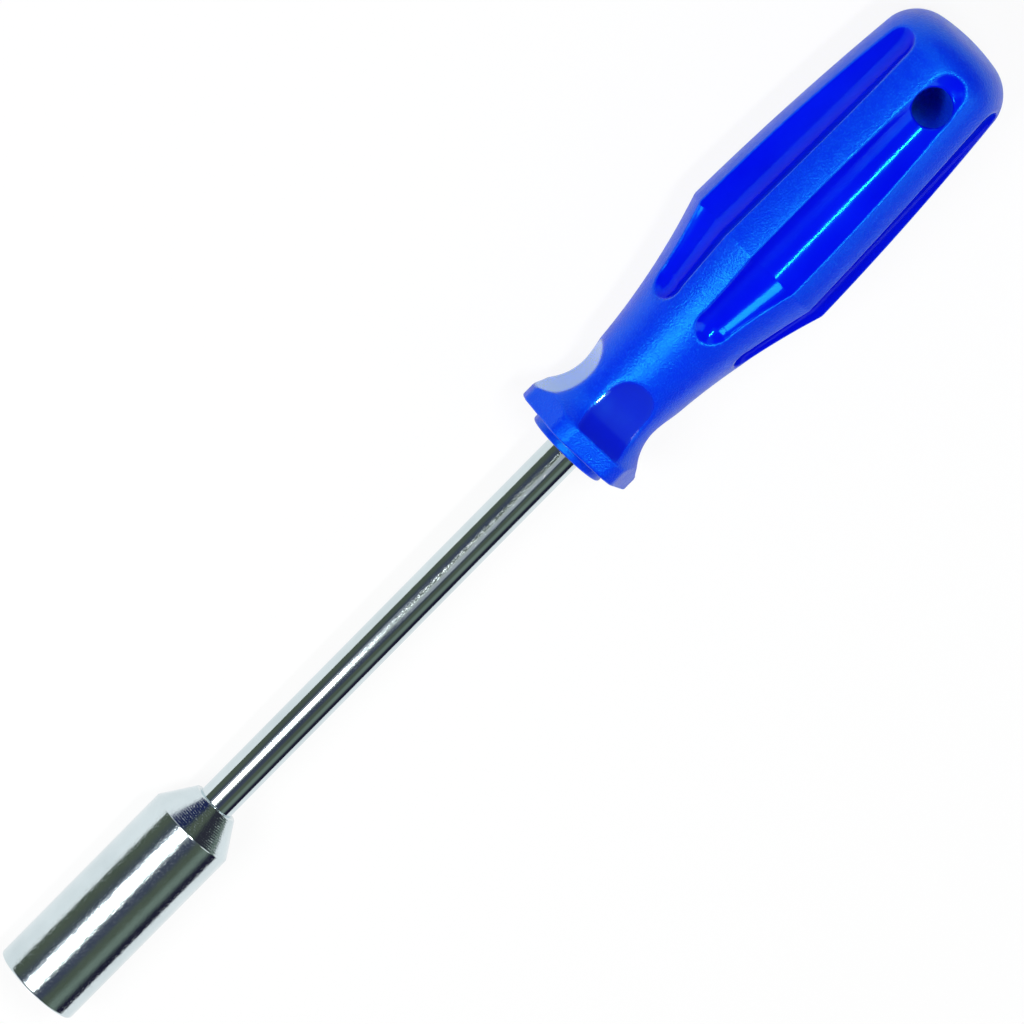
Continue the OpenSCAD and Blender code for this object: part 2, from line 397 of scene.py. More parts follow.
guard_edge = handle_skin(handle_angles, np.full_like(handle_angles, FRONT_ROUND))[0]
for inset in FACE_INSETS:
    front_rings.append(ring(BLADE_L, guard_edge - inset, handle_angles))
for turn in np.radians(np.linspace(0, FRONT_TURN, FRONT_RINGS)):
    edge_r = guard_edge - FRONT_ROUND * (1 - math.sin(turn))
    front_rings.append(ring(BLADE_L + FRONT_ROUND * (1 - math.cos(turn)), edge_r, handle_angles))
handle_rings = front_rings + outside
first_outside = len(front_rings)
print(len(handle_rings), "rings in all")

# %% [markdown]
# The hanging hole goes through two opposite flutes. A square patch is left out of the grid there and
# filled with rings that change from the patch's border to the round rim of the hole. The rim gets a
# small radius, and a tube joins it to the rim on the other side. With the Boolean modifier the rim
# would be a row of thin triangles, and the shading round it would be blotchy.

# %% Border of the patch
PATCH_COLUMNS = 34
HAIR = 0.01

in_patch = (handle_places > patch_low - HAIR) & (handle_places < patch_high + HAIR)
row_a, row_b = (int(row) for row in np.flatnonzero(in_patch)[[0, -1]])
border = [(row, -PATCH_COLUMNS) for row in range(row_a, row_b)]
border += [(row_b, column) for column in range(-PATCH_COLUMNS, PATCH_COLUMNS)]
border += [(row, PATCH_COLUMNS) for row in range(row_b, row_a, -1)]
border += [(row_a, column) for column in range(PATCH_COLUMNS, -PATCH_COLUMNS, -1)]
border_at = {place: index for index, place in enumerate(border)}
mirrored = np.array([border_at[(row, -column)] for row, column in border])
print(len(border), "points round the patch of the hole")

# %% Rings between the patch's border and the rim
RIM_ROUND = 0.45
PATCH_RINGS = 9
PATCH_CROWDING = 1.4
RIM_RINGS = 6
WALL_POLISH = -1.0
SOLVE_STEPS = 30

border_points = np.array([outside[row][column % HANDLE_COLUMNS] for row, column in border])
border_y = border_points[:, 1]
border_u = border_points[:, 0] - BLADE_L - HOLE_AT
border_reach = np.hypot(border_y, border_u)
way_y = border_y / border_reach
way_u = border_u / border_reach


def patch_ring(from_middle, drop):
    """Points of one ring of the patch at distances from the hole's middle, and their polish."""
    y = way_y * from_middle
    u = HOLE_AT + way_u * from_middle
    theta = y / GUARD_R
    for _ in range(SOLVE_STEPS):
        theta = np.arcsin(y / handle_skin(theta, u)[0])
    radius, polish = handle_skin(theta, u)
    return np.stack([BLADE_L + u, y, radius * np.cos(theta) - drop], axis=1), polish


hole_rings = []
for share in np.linspace(1, 0, PATCH_RINGS + 1)[1:]:
    from_rim = share**PATCH_CROWDING * (border_reach - HOLE_R - RIM_ROUND)
    hole_rings.append(patch_ring(HOLE_R + RIM_ROUND + from_rim, 0.0))
for turn in np.radians(np.linspace(0, 90, RIM_RINGS + 1)[1:]):
    from_middle = np.full_like(border_reach, HOLE_R + RIM_ROUND * (1 - math.sin(turn)))
    hole_rings.append(patch_ring(from_middle, RIM_ROUND * (1 - math.cos(turn))))
rim_points = hole_rings[-1][0]
hole_rings[-1] = (rim_points, np.full_like(border_reach, WALL_POLISH))
rim_z = rim_points[:, 2]
print("rim of the hole between z", rim_z.min().round(2), "and", rim_z.max().round(2))

# %% Quads of the grid
handle_points = np.concatenate(handle_rings)
handle_polish = np.concatenate([np.zeros(first_outside * HANDLE_COLUMNS), grid_polish.ravel()])
handle_faces = []
for row in range(len(handle_rings) - 1):
    quads = ring_quads(row * HANDLE_COLUMNS, (row + 1) * HANDLE_COLUMNS, HANDLE_COLUMNS)
    keep = np.ones(HANDLE_COLUMNS, bool)
    if first_outside + row_a <= row < first_outside + row_b:
        for middle in (0, HANDLE_COLUMNS // 2):
            keep[np.arange(middle - PATCH_COLUMNS, middle + PATCH_COLUMNS) % HANDLE_COLUMNS] = False
    handle_faces += quads[keep].tolist()
handle_faces.append(list(range(HANDLE_COLUMNS))[::-1])
handle_faces.append(list(range(len(handle_points) - HANDLE_COLUMNS, len(handle_points))))
print(len(handle_faces), "faces, with two patches left out")

# %% Sew the hole into the patches
rim_loops = []
for half_turn in (0, HANDLE_COLUMNS // 2):
    flip = 1 if half_turn == 0 else -1
    loop = np.array([
        (first_outside + row) * HANDLE_COLUMNS + (column + half_turn) % HANDLE_COLUMNS
        for row, column in border
    ])
    for points, polish in hole_rings:
        inner = len(handle_points) + np.arange(len(border))
        handle_points = np.concatenate([handle_points, points * [1, flip, flip]])
        handle_polish = np.concatenate([handle_polish, polish])
        quads = np.stack([loop, np.roll(loop, -1), np.roll(inner, -1), inner], axis=1)
        handle_faces += quads.tolist()
        loop = inner
    rim_loops.append(loop)

top = rim_loops[0]
bottom = rim_loops[1][mirrored]
tube = np.stack([top, np.roll(top, -1), np.roll(bottom, -1), bottom], axis=1)
handle_faces += tube.tolist()
print(len(tube), "faces in the wall of the hole")

# %% Mesh of the handle
HANDLE_SHARP = math.radians(50)

handle = skin("handle_moulding", handle_points, handle_faces)
polish_layer = handle.data.attributes.new("polish", "FLOAT", "POINT")
polish_layer.data.foreach_set("value", handle_polish.astype(np.float32))
handle.data.set_sharp_from_angle(angle=HANDLE_SHARP)

# %% [markdown]
# The rod is drawn steel, plated bright. Most of it shows as a plain round bar between the head and the
# collar. Its tail inside the handle has two pairs of swaged wings that stop it from turning. The
# CAD node could stay, but a mirror finish shows every facet, so the rod is spun again with many more
# columns, wings included.

# %% Radius of the rod
SHAFT_R = 3.25
SHAFT_COLUMNS = 144
WING_HALF_W = 5.0
WING_HALF_T = 1.4
WING_HALF_L = 4.5
WING_FLAT = 2.25
WING_AT = ((174.5, 0.0), (160.5, math.pi / 2))
TINY = 1e-6

shaft_angles = ring_angles(SHAFT_COLUMNS)


def shaft_radius(x):
    """Radius round the rod at a place: that of the bar, or of a wing where one stands out."""
    radius = np.full_like(shaft_angles, SHAFT_R)
    for middle, turn in WING_AT:
        off = abs(x - middle)
        if off < WING_HALF_L:
            slope = (WING_HALF_L - off) / (WING_HALF_L - WING_FLAT)
            half_w = WING_HALF_W * min(slope, 1)
            side = np.maximum(np.abs(np.sin(shaft_angles - turn)), TINY)
            front = np.maximum(np.abs(np.cos(shaft_angles - turn)), TINY)
            radius = np.maximum(radius, np.minimum(WING_HALF_T / side, half_w / front))
    return radius


print("wings", 2 * WING_HALF_W, "mm across, at", [middle for middle, _ in WING_AT], "mm from the mouth")

# %% Spin the rod
SHAFT_FROM = 32.5
SHAFT_TO = 184.0
SHAFT_BEVEL = 0.6
CAP_R = 0.15
PLAIN_TO = 155.0
PLAIN_RINGS = 42
WINGS_FROM = 155.5
WINGS_TO = 179.5
WING_RINGS = 97
SHAFT_SHARP = math.radians(35)

shaft_places = np.concatenate([
    np.linspace(SHAFT_FROM + SHAFT_BEVEL, PLAIN_TO, PLAIN_RINGS),
    np.linspace(WINGS_FROM, WINGS_TO, WING_RINGS),
    [SHAFT_TO - SHAFT_BEVEL],
])
shaft_rings = [
    ring(SHAFT_FROM, CAP_R, shaft_angles),
    ring(SHAFT_FROM, SHAFT_R - SHAFT_BEVEL, shaft_angles),
    *[ring(x, shaft_radius(x), shaft_angles) for x in shaft_places],
    ring(SHAFT_TO, SHAFT_R - SHAFT_BEVEL, shaft_angles),
    ring(SHAFT_TO, CAP_R, shaft_angles),
]
shaft = spin("shaft_rod", shaft_rings)
shaft.data.set_sharp_from_angle(angle=SHAFT_SHARP)

# %% [markdown]
# The head is turned on a lathe, broached with a hexagon and plated. Inside, from the rear: the point
# that the drill left, the round stud bore, the hexagon with its lead-in, and the mouth. Outside: the
# barrel, a small edge, and the cone, where the tool's fine feed marks stay visible under the plating.
# The feed marks are real grooves here, about a hundredth of a millimetre deep.

# %% Hexagon and bore of the head
SOCKET_COLUMNS = 192
HEX_FLAT = 5.075
HEX_DEPTH = 18.0
HEX_SIDES = 6
HEX_PLACES = (9.0, 2.0)
LEAD_R = 6.21
LEAD_TENTHS = 12
STUD_R = 4.3
STUD_DEPTH = 28.0
DRILL_TIP = 30.58
TIP_CUT = 0.06

socket_angles = ring_angles(SOCKET_COLUMNS)
hexagon = HEX_FLAT / np.cos(angle_from_nearest(socket_angles, HEX_SIDES))
recess_rings = [
    ring(DRILL_TIP - TIP_CUT, CAP_R, socket_angles),
    ring(STUD_DEPTH, STUD_R, socket_angles),
    ring(HEX_DEPTH, STUD_R, socket_angles),
    ring(HEX_DEPTH, hexagon, socket_angles),
]
lead_places = [tenth / 10 for tenth in range(LEAD_TENTHS, -1, -1)]
for x in (*HEX_PLACES, *lead_places):
    recess_rings.append(ring(x, np.maximum(hexagon, LEAD_R - x), socket_angles))
print("hexagon", round(2 * HEX_FLAT, 2), "mm across flats,", HEX_DEPTH, "mm deep")

# %% Mouth, barrel and edge of the head
SOCKET_R = 7.8
SOCKET_L = 42.5
SHOULDER_L = 5.6
RING_R = 4.2
MOUTH_FLAT = 0.2
MOUTH_ROUND = 0.5
MOUTH_INSET = 1.4 * MOUTH_ROUND
MOUTH_ARC_POINTS = 8
BARREL_FROM = 1.2
BARREL_SHORT = 1.0
BARREL_RINGS = 16
EDGE_ROUND = 0.3
EDGE_ARC_POINTS = 6

shoulder_at = SOCKET_L - SHOULDER_L
cone_drop = math.atan2(SOCKET_R - RING_R, SHOULDER_L)
edge_run = EDGE_ROUND * math.tan(cone_drop / 2)
edge_c = (shoulder_at - edge_run, SOCKET_R - EDGE_ROUND)
drop_deg = math.degrees(cone_drop)
mouth_c = (MOUTH_ROUND, SOCKET_R - MOUTH_ROUND)
barrel_path = [(0.0, LEAD_R + MOUTH_FLAT), (0.0, SOCKET_R - MOUTH_INSET)]
barrel_path += corner_arc(mouth_c, MOUTH_ROUND, 180, 90, MOUTH_ARC_POINTS)
barrel_places = np.linspace(BARREL_FROM, shoulder_at - BARREL_SHORT, BARREL_RINGS)
barrel_path += [(x, SOCKET_R) for x in barrel_places]
barrel_path += corner_arc(edge_c, EDGE_ROUND, 90, 90 - drop_deg, EDGE_ARC_POINTS)
print("the cone drops by", round(drop_deg, 1), "degrees")

# %% Cone and seat of the head
FEED_PITCH = 0.42
FEED_DEPTH = 0.014
FEED_STEP = 0.07
FEED_SHORT = 0.15
RING_EDGE = 0.05
RING_BACK = 0.03
RING_OUT = 0.01
SEAT_R = 3.27
SEAT_BEVEL = 0.3
SEAT_END = 32.48
SOCKET_SHARP = math.radians(40)

cone_length = math.hypot(SHOULDER_L, SOCKET_R - RING_R)
along_cone = np.arange(edge_run + FEED_STEP, cone_length - FEED_SHORT, FEED_STEP)
feed = FEED_DEPTH * np.abs(np.sin(math.pi * along_cone / FEED_PITCH)) - FEED_DEPTH
cone_x = shoulder_at + along_cone * math.cos(cone_drop) + feed * math.sin(cone_drop)
cone_r = SOCKET_R - along_cone * math.sin(cone_drop) + feed * math.cos(cone_drop)
cone_path = list(zip(cone_x, cone_r))
ring_face = [
    (SOCKET_L - RING_BACK, RING_R + RING_OUT), (SOCKET_L, RING_R - RING_EDGE),
    (SOCKET_L, SEAT_R + SEAT_BEVEL + RING_EDGE), (SOCKET_L, SEAT_R + SEAT_BEVEL),
    (SOCKET_L - SEAT_BEVEL, SEAT_R),
]
seat_path = [
    (SEAT_END + SHAFT_BEVEL, SEAT_R), (SEAT_END, SEAT_R - SHAFT_BEVEL), (SEAT_END, CAP_R),
]
head_path = barrel_path + cone_path + ring_face + seat_path
head_rings = [ring(x, r, socket_angles) for x, r in head_path]
socket = spin("socket_head", recess_rings + head_rings)
socket.data.set_sharp_from_angle(angle=SOCKET_SHARP)

# %% [markdown]
# The handle's plastic is one deep blue all through. What changes over it is the polish of the mould:
# the flutes and scoops were polished bright, and the ribs and the neck have a fine spark-eroded grain.
# The point attribute from the modelling step drives the roughness and the height of the grain, and
# the painted glints: lighter cyan specks in the colour of the ribs and the neck, which stand in for
# the sparkle of their grain. No picture has to be painted or unwrapped for any of it.

# %% Helpers for node materials
def finish_nodes(name):
    material = bpy.data.materials.new(name)
    material.use_nodes = True
    tree = material.node_tree
    return material, tree, tree.nodes["Principled BSDF"]


def add_node(tree, kind, **settings):
    node = tree.nodes.new(kind)
    for key, value in settings.items():
        setattr(node, key, value)
    return node


def noise_node(tree, scale, detail, rough=0.5):
    """Noise by the place on the piece, in metres, so that its grain has a real size."""
    coords = add_node(tree, "ShaderNodeTexCoord")
    noise = add_node(tree, "ShaderNodeTexNoise")
    noise.inputs["Scale"].default_value = scale
    noise.inputs["Detail"].default_value = detail
    noise.inputs["Roughness"].default_value = rough
    tree.links.new(coords.outputs["Object"], noise.inputs["Vector"])
    return noise.outputs["Fac"]


def stretch(tree, value, from_low, from_high, to_low, to_high):
    node = add_node(tree, "ShaderNodeMapRange")
    for socket_name, number in (
        ("From Min", from_low), ("From Max", from_high), ("To Min", to_low), ("To Max", to_high),
    ):
        node.inputs[socket_name].default_value = number
    tree.links.new(value, node.inputs["Value"])
    return node.outputs["Result"]


def place_parts(tree, coordinates):
    """The X, Y and Z of the place on the piece, or of the direction into the room."""
    coords = add_node(tree, "ShaderNodeTexCoord")
    parts = add_node(tree, "ShaderNodeSeparateXYZ")
    tree.links.new(coords.outputs[coordinates], parts.inputs[0])
    return parts.outputs


# A Mix node has sockets for numbers, vectors and colours. These are the places of its colours.
MIX_LOW, MIX_HIGH, MIXED = 6, 7, 2


def blend_colour(tree, share, low, high):
    """A blend of two colours. Each is a plain colour or the output of another node."""
    node = add_node(tree, "ShaderNodeMix", data_type="RGBA")
    for index, colour in ((MIX_LOW, low), (MIX_HIGH, high)):
        if isinstance(colour, tuple):
            node.inputs[index].default_value = (*colour, 1)
        else:
            tree.links.new(colour, node.inputs[index])
    tree.links.new(share, node.inputs["Factor"])
    return node.outputs[MIXED]


def combine(tree, operation, first, second):
    node = add_node(tree, "ShaderNodeMath", operation=operation)
    for index, value in enumerate((first, second)):
        if isinstance(value, (int, float)):
            node.inputs[index].default_value = value
        else:
            tree.links.new(value, node.inputs[index])
    return node.outputs[0]


def bump(tree, height, depth, normal=None):
    """Depth is the real height in metres of the noise's full range."""
    node = add_node(tree, "ShaderNodeBump")
    node.inputs["Distance"].default_value = depth
    tree.links.new(height, node.inputs["Height"])
    if normal is not None:
        tree.links.new(normal, node.inputs["Normal"])
    return node.outputs["Normal"]


# %% Blue of the plastic
DEEP_BLUE = (0.0004, 0.0015, 0.73)
LIGHT_BLUE = (0.0008, 0.006, 0.79)
# The lighter cyan of the specks is a painted glint, standing in for the sparkle of the ribs' grain.
GLINT_SPECK_BLUE = (0.003, 0.048, 0.84)
CLOUD_SCALE = 90
CLOUD_RANGE = (0.3, 0.7)
GRAIN_SCALE = 3000
GLINT_SPECK_RANGE = (0.5, 0.72)
LEAST_GLINT_SPECKS = 0.3

plastic, tree, shader = finish_nodes("moulded_blue_plastic")
mould_polish = add_node(tree, "ShaderNodeAttribute", attribute_name="polish").outputs["Fac"]
unpolished = combine(tree, "SUBTRACT", 1.0, mould_polish)
clouds = stretch(tree, noise_node(tree, CLOUD_SCALE, detail=3), *CLOUD_RANGE, 0, 1)
clouded_blue = blend_colour(tree, clouds, DEEP_BLUE, LIGHT_BLUE)
grain = noise_node(tree, GRAIN_SCALE, detail=2)
# The specks paint glints of the grain into the colour of the unpolished ribs and neck; the flutes and
# scoops get none.
glint_specks = combine(tree, "MULTIPLY", stretch(tree, grain, *GLINT_SPECK_RANGE, LEAST_GLINT_SPECKS, 1), unpolished)
glint_speckled_blue = blend_colour(tree, glint_specks, clouded_blue, GLINT_SPECK_BLUE)
tree.links.new(glint_speckled_blue, shader.inputs["Base Color"])
print("plastic with specks of about", round(1 / GRAIN_SCALE / MM, 2), "mm on its ribs")

# %% Roughness and grain of the plastic
SATIN_SCALE = 700
SATIN_RANGE = (0.3, 0.7)
SATIN = (0.28, 0.38)
RUB_SCALE = 160
RUB_RANGE = (0.35, 0.75)
POLISHED = (0.10, 0.18)
GRAIN_DEPTH = 0.00008
RIPPLE_SCALE = 260
RIPPLE_DEPTH = 0.00002

satin = stretch(tree, noise_node(tree, SATIN_SCALE, detail=4), *SATIN_RANGE, *SATIN)
rubbed = stretch(tree, noise_node(tree, RUB_SCALE, detail=5, rough=0.6), *RUB_RANGE, *POLISHED)
satin = combine(tree, "MULTIPLY", satin, unpolished)
rubbed = combine(tree, "MULTIPLY", rubbed, mould_polish)
tree.links.new(combine(tree, "ADD", satin, rubbed), shader.inputs["Roughness"])
ripple = bump(tree, noise_node(tree, RIPPLE_SCALE, detail=2), RIPPLE_DEPTH)
rib_grain = combine(tree, "MULTIPLY", grain, unpolished)
tree.links.new(bump(tree, rib_grain, GRAIN_DEPTH, ripple), shader.inputs["Normal"])
print("roughness", SATIN, "on the ribs and", POLISHED, "in the flutes")

# %% [markdown]
# The plastic's gloss is tinted cyan, and a faint cyan sheen lightens its sides, as in the photograph.
# The ribs lose most of their gloss at glancing angles. The flutes lose theirs sooner, because their
# walls would otherwise mirror the white table. The wall of the hole has none, and the scoops keep a
# strong gloss under a clear coat.

# %% Gloss of the plastic
SHINE_TINT = (0.02, 0.78, 1.0)
PLASTIC_IOR = 2.0
RIB_FACING = (0.45, 0.95)
RIB_GLOSS = (0.4, 0.03)
FLUTE_FACING = (0.15, 0.5)
FLUTE_GLOSS = (0.16, 0.0)
SCOOP_GLOSS = 0.9
SCOOPS_TO = 143.0
FLUTES_FROM = 150.0

polished = stretch(tree, mould_polish, 0, 1, 0, 1)
place_x = place_parts(tree, "Object")["X"]
at_scoops = stretch(tree, place_x, SCOOPS_TO * MM, FLUTES_FROM * MM, 1, 0)
scooped = combine(tree, "MULTIPLY", at_scoops, polished)
turned_away = add_node(tree, "ShaderNodeLayerWeight").outputs["Facing"]
rib_gloss = stretch(tree, turned_away, *RIB_FACING, *RIB_GLOSS)
rib_gloss = combine(tree, "MULTIPLY", rib_gloss, stretch(tree, mould_polish, WALL_POLISH, 0, 0, 1))
rib_gloss = combine(tree, "MULTIPLY", rib_gloss, stretch(tree, mould_polish, 0, 1, 1, 0))
flute_gloss = stretch(tree, turned_away, *FLUTE_FACING, *FLUTE_GLOSS)
gloss = combine(tree, "ADD", rib_gloss, combine(tree, "MULTIPLY", flute_gloss, polished))
gloss = combine(tree, "ADD", gloss, combine(tree, "MULTIPLY", scooped, SCOOP_GLOSS))
tree.links.new(gloss, shader.inputs["Specular IOR Level"])
shader.inputs["IOR"].default_value = PLASTIC_IOR
shader.inputs["Specular Tint"].default_value = (*SHINE_TINT, 1)
print("gloss of ribs, flutes and scoops seen from the front:", RIB_GLOSS[0], FLUTE_GLOSS[0], SCOOP_GLOSS)

# %% Sheen and clear coat of the plastic
SHEEN = 0.15
SHEEN_ROUGH = 0.3
SHEEN_TINT = (0.05, 0.65, 1.0)
SCOOP_COAT = 0.8
COAT_ROUGH = 0.1
COAT_IOR = 1.9

shader.inputs["Sheen Weight"].default_value = SHEEN
shader.inputs["Sheen Roughness"].default_value = SHEEN_ROUGH
shader.inputs["Sheen Tint"].default_value = (*SHEEN_TINT, 1)
tree.links.new(combine(tree, "MULTIPLY", scooped, SCOOP_COAT), shader.inputs["Coat Weight"])
shader.inputs["Coat Roughness"].default_value = COAT_ROUGH
shader.inputs["Coat IOR"].default_value = COAT_IOR
handle.data.materials.append(plastic)
print("handle finish", plastic.name)

# %% [markdown]
# The steel is plated bright. Chrome is close to a mirror, but not a perfect one: polishing leaves it
# faintly wavy, small pits break up the edges of its reflections, and handling leaves dull patches.
# Both steel pieces share one recipe, and the head is a little more wavy than the drawn rod.

# %% Plated steel
PLATING = (0.66, 0.75, 0.78)
PLATING_DULL = (0.58, 0.67, 0.70)
TONE_SCALE = 140
TONE_RANGE = (0.35, 0.75)
SMEAR_SCALE = 420
SMEAR_RANGE = (0.3, 0.75)
WORN_FROM = 45.0
WORN_TO = 120.0
PIT_FADE = 0.2
FRONT_PITS = 0.4


def plated_finish(name, mirror, dull, wave_scale, wave_depth, pit_scale, pit_depth, pit_from):
    """The plating is a mirror at the head's end and duller, with deeper pits, towards the handle."""
    material, tree, shader = finish_nodes(name)
    tone = stretch(tree, noise_node(tree, TONE_SCALE, detail=4), *TONE_RANGE, 0, 1)
    tree.links.new(blend_colour(tree, tone, PLATING, PLATING_DULL), shader.inputs["Base Color"])
    shader.inputs["Metallic"].default_value = 1.0
    along = place_parts(tree, "Object")["X"]
    worn = stretch(tree, along, WORN_FROM * MM, WORN_TO * MM, mirror, dull)
    smear = noise_node(tree, SMEAR_SCALE, detail=4, rough=0.6)
    smear = stretch(tree, smear, *SMEAR_RANGE, 0, mirror / 2)
    tree.links.new(combine(tree, "ADD", worn, smear), shader.inputs["Roughness"])
    wave = bump(tree, noise_node(tree, wave_scale, detail=2), wave_depth)
    pits = stretch(tree, noise_node(tree, pit_scale, detail=3), pit_from, pit_from + PIT_FADE, 1, 0)
    depth = stretch(tree, along, WORN_FROM * MM, WORN_TO * MM, FRONT_PITS, 1)
    pitted = bump(tree, combine(tree, "MULTIPLY", pits, depth), pit_depth, wave)
    tree.links.new(pitted, shader.inputs["Normal"])
    print("steel finish", material.name)
    return material


head_plating = plated_finish(
    "plated_turned_head", mirror=0.09, dull=0.2, wave_scale=900, wave_depth=0.00002,
    pit_scale=3400, pit_depth=0.00002, pit_from=0.52,
)
rod_plating = plated_finish(
    "plated_drawn_rod", mirror=0.05, dull=0.06, wave_scale=700, wave_depth=0.000004,
    pit_scale=6500, pit_depth=0.000005, pit_from=0.6,
)
socket.data.materials.append(head_plating)
shaft.data.materials.append(rod_plating)

# %% [markdown]
# Every skin rides on the tool's one body and stands for the CAD solid of the same piece. MuJoCo
# keeps the solids for contact.

# %% Tie the skins to the frame
for piece, node, slot in (
    (handle, "handle", "handle_plastic"),
    (shaft, "shaft", "shaft_plating"),
    (socket, "socket", "socket_plating"),
):
    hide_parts(node)
    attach(piece, "root")
    print(piece.name, "stands for", node)

# %% [markdown]
# The tool lies on a white table. It touches the table at two places: under the head, and at the two
# ribs below the crease. The table is therefore tilted by two degrees against the tool's axis. Part of
# its white is a glow that only the camera and mirrors see, so that the table is as white as in the
# photograph without more light on the tool, and the shadow still shows.

# %% Table
HEAD_CONTACT = Vector((0.5, 0, -7.8)) * MM
RIB_CONTACT = Vector((168.9, 0, -13.65)) * MM
TABLE_HALF = 3.0

table_tilt = math.atan2(HEAD_CONTACT.z - RIB_CONTACT.z, RIB_CONTACT.x - HEAD_CONTACT.x)
table_mesh = bpy.data.meshes.new("white_table")
corners = [(-1, -1, 0), (1, -1, 0), (1, 1, 0), (-1, 1, 0)]
table_mesh.from_pydata([tuple(TABLE_HALF * v for v in c) for c in corners], [], [(0, 1, 2, 3)])
table = bpy.data.objects.new("white_table", table_mesh)
table.rotation_euler = (0, table_tilt, 0)
table.location = (HEAD_CONTACT + RIB_CONTACT) / 2
bpy.context.scene.collection.objects.link(table)
print("table tilted by", round(math.degrees(table_tilt), 2), "degrees")

# %% White of the table
TABLE_WHITE = (0.9, 0.9, 0.9, 1)
GLOW_SHARE = 0.9

table_white = bpy.data.materials.new("table_white")
table_white.use_nodes = True
tree = table_white.node_tree
tree.nodes.clear()
paper = add_node(tree, "ShaderNodeBsdfDiffuse")
paper.inputs["Color"].default_value = TABLE_WHITE
glow = add_node(tree, "ShaderNodeEmission")
glow.inputs["Strength"].default_value = 1.0
path = add_node(tree, "ShaderNodeLightPath")
seen = combine(tree, "MAXIMUM", path.outputs["Is Camera Ray"], path.outputs["Is Glossy Ray"])
seen = combine(tree, "MAXIMUM", seen, path.outputs["Is Transmission Ray"])
mix = add_node(tree, "ShaderNodeMixShader")
tree.links.new(combine(tree, "MULTIPLY", seen, GLOW_SHARE), mix.inputs["Fac"])
tree.links.new(paper.outputs[0], mix.inputs[1])
tree.links.new(glow.outputs[0], mix.inputs[2])
surface = add_node(tree, "ShaderNodeOutputMaterial")
tree.links.new(mix.outputs[0], surface.inputs["Surface"])
table_mesh.materials.append(table_white)
print("share of the table's white that is a glow", GLOW_SHARE)

# %% [markdown]
# The camera looks down on the tool from far away, a little from the handle's end and a little from
# the left, and is rolled so that the tool runs up the picture from corner to corner. A long lens keeps
# the tool's sides parallel. Its angles were found by laying the outline of the solids over the
# photograph.

# %% Camera
VIEW_TILT = math.radians(7)
VIEW_TURN = math.radians(17)
VIEW_ROLL = math.radians(45.3)
VIEW_DISTANCE = 1.5
VIEW_MIDDLE = Vector((0.1093, 0, 0))
VIEW_SHIFT = (0.00179, 0.0005)
PIXELS_PER_MM = 6.15
PICTURE_PIXELS = 1024
SENSOR = 36.0

to_camera = Vector((
    math.sin(VIEW_TILT),
    math.sin(VIEW_TURN) * math.cos(VIEW_TILT),
    math.cos(VIEW_TURN) * math.cos(VIEW_TILT),
))
along_tool = (Vector((1, 0, 0)) - to_camera * to_camera.x).normalized()
across_tool = (-to_camera).cross(along_tool)
view_right = math.cos(VIEW_ROLL) * along_tool + math.sin(VIEW_ROLL) * across_tool
view_up = math.sin(VIEW_ROLL) * along_tool - math.cos(VIEW_ROLL) * across_tool

camera_data = bpy.data.cameras.new("camera")
camera_data.sensor_width = SENSOR
camera_data.lens = PIXELS_PER_MM / MM * SENSOR * VIEW_DISTANCE / PICTURE_PIXELS
camera = bpy.data.objects.new("camera", camera_data)
camera.matrix_world = Matrix((
    (view_right.x, view_up.x, to_camera.x, 0),
    (view_right.y, view_up.y, to_camera.y, 0),
    (view_right.z, view_up.z, to_camera.z, 0),
    (0, 0, 0, 1),
))
camera.location = (
    VIEW_MIDDLE + VIEW_SHIFT[0] * view_right + VIEW_SHIFT[1] * view_up + VIEW_DISTANCE * to_camera
)
bpy.context.scene.collection.objects.link(camera)
bpy.context.scene.camera = camera
print("lens", round(camera_data.lens, 1), "mm")

# %% [markdown]
# The light is a softbox over the head's end, brighter in its middle, and a narrow strip over the
# handle. The softbox gives the steel its white band, and the strip gives the flutes their thin bright
# line. A weak halo over the rod lets the white band fade out towards the handle, and a fill from the
# right lifts the handle's far side. Heights and ends are in metres, angles in degrees.

# %% Softboxes
def add_softbox(name, height, ends, angles, level):
    """A lamp between two places along the tool and two angles from upright towards +Y."""
    low, high = np.radians(angles)
    middle = (low + high) / 2
    way = Vector((0, math.sin(middle), math.cos(middle)))
    data = bpy.data.lights.new(name, "AREA")
    data.shape = "RECTANGLE"
    data.size = ends[1] - ends[0]
    data.size_y = 2 * height * math.tan((high - low) / 2)
    data.energy = level * math.pi * data.size * data.size_y
    lamp = bpy.data.objects.new(name, data)
    across = Vector((1, 0, 0))
    upward = way.cross(across)
    lamp.matrix_world = Matrix((
        (across.x, upward.x, way.x, 0),
        (across.y, upward.y, way.y, 0),
        (across.z, upward.z, way.z, 0),
        (0, 0, 0, 1),
    ))
    lamp.location = Vector(((ends[0] + ends[1]) / 2, 0, 0)) + height * way
    bpy.context.scene.collection.objects.link(lamp)
    print(name, round(data.energy, 2), "W")


add_softbox("softbox_core", height=0.6, ends=(-0.28, -0.02), angles=(14, 35), level=13.0)
add_softbox("softbox_halo", height=0.62, ends=(-0.45, 0.0), angles=(5, 46), level=0.32)
add_softbox("halo_over_rod", height=0.62, ends=(0.0, 0.13), angles=(-10, 14), level=0.42)
add_softbox("strip_over_handle", height=0.6, ends=(0.14, 0.37), angles=(-1.0, 2.0), level=82.0)
add_softbox("fill_from_right", height=0.55, ends=(0.18, 0.40), angles=(-65, -35), level=1.8)

# %% [markdown]
# The room is dim, and chrome shows it as olive and navy bands. Its rear end, which the cone of the head
# mirrors, has bands of its own. Only a part of the room behind the tool, to the left, is bright: no
# steel mirrors that part to the camera, but it lights the handle. Each row of a list of bands is a
# place from one side of the room, at -1, to the other, at 1, and the colour there.

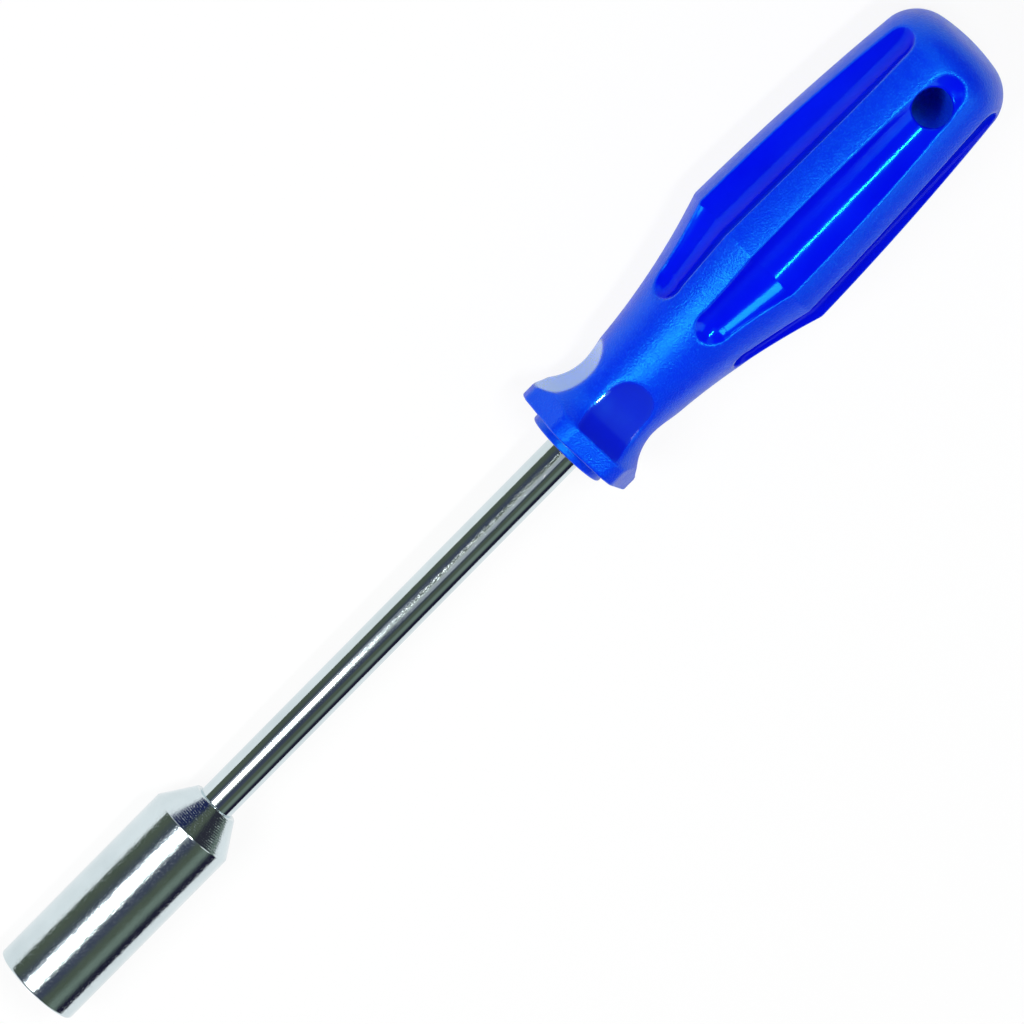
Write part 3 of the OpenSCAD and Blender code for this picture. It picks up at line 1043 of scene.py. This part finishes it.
# %% Bands of the room
NIGHT = (0.016, 0.014, 0.035)
NAVY = (0.06, 0.07, 0.11)
OLIVE = (0.095, 0.115, 0.085)
PALE_OLIVE = (0.19, 0.24, 0.20)
DUSK = (0.03, 0.03, 0.045)
DEEP_NAVY = (0.012, 0.02, 0.09)
ROOM_BANDS = (
    (-1.0, NIGHT), (-0.93, NIGHT), (-0.82, PALE_OLIVE), (-0.70, PALE_OLIVE),
    (-0.56, OLIVE), (-0.40, OLIVE), (-0.22, NAVY), (0.05, NAVY), (0.15, OLIVE), (0.45, OLIVE),
    (0.56, NAVY), (0.72, NAVY), (0.92, OLIVE), (1.0, OLIVE),
)
REAR_BANDS = (
    (-1.0, DUSK), (-0.22, DUSK), (-0.06, OLIVE), (0.24, OLIVE), (0.34, DEEP_NAVY), (1.0, DEEP_NAVY),
)


def band_ramp(tree, value, bands):
    ramp = add_node(tree, "ShaderNodeValToRGB")
    elements = ramp.color_ramp.elements
    while len(elements) < len(bands):
        elements.new(0.5)
    for element, (place, colour) in zip(elements, bands):
        element.position = (place + 1) / 2
        element.color = (*colour, 1)
    tree.links.new(value, ramp.inputs["Fac"])
    return ramp.outputs["Color"]


print(len(ROOM_BANDS), "bands at the sides of the room and", len(REAR_BANDS), "at its rear")

# %% Room
REAR_FROM = 0.60
ROOM_WHITE = (1.1, 1.1, 1.1)
BRIGHT_FROM = 0.33
BRIGHT_TO = 0.7
BLEND = 0.08

world = bpy.data.worlds.new("studio_room")
bpy.context.scene.world = world
world.use_nodes = True
tree = world.node_tree
way = place_parts(tree, "Generated")
across_room = stretch(tree, way["Y"], -1, 1, 0, 1)
side_bands = band_ramp(tree, across_room, ROOM_BANDS)
rear_bands = band_ramp(tree, across_room, REAR_BANDS)
to_rear = stretch(tree, way["X"], REAR_FROM, REAR_FROM + BLEND, 0, 1)
dim_room = blend_colour(tree, to_rear, side_bands, rear_bands)
rising = stretch(tree, way["X"], BRIGHT_FROM, BRIGHT_FROM + BLEND, 0, 1)
falling = stretch(tree, way["X"], BRIGHT_TO, BRIGHT_TO - BLEND, 0, 1)
beside = stretch(tree, way["Y"], 0, BLEND, 0, 1)
bright = combine(tree, "MINIMUM", combine(tree, "MINIMUM", rising, falling), beside)
room = blend_colour(tree, bright, dim_room, ROOM_WHITE)
tree.links.new(room, tree.nodes["Background"].inputs["Color"])
bpy.context.scene.view_settings.view_transform = "Standard"
print("room", world.name, "bright from", BRIGHT_FROM, "to", BRIGHT_TO, "towards the rear")
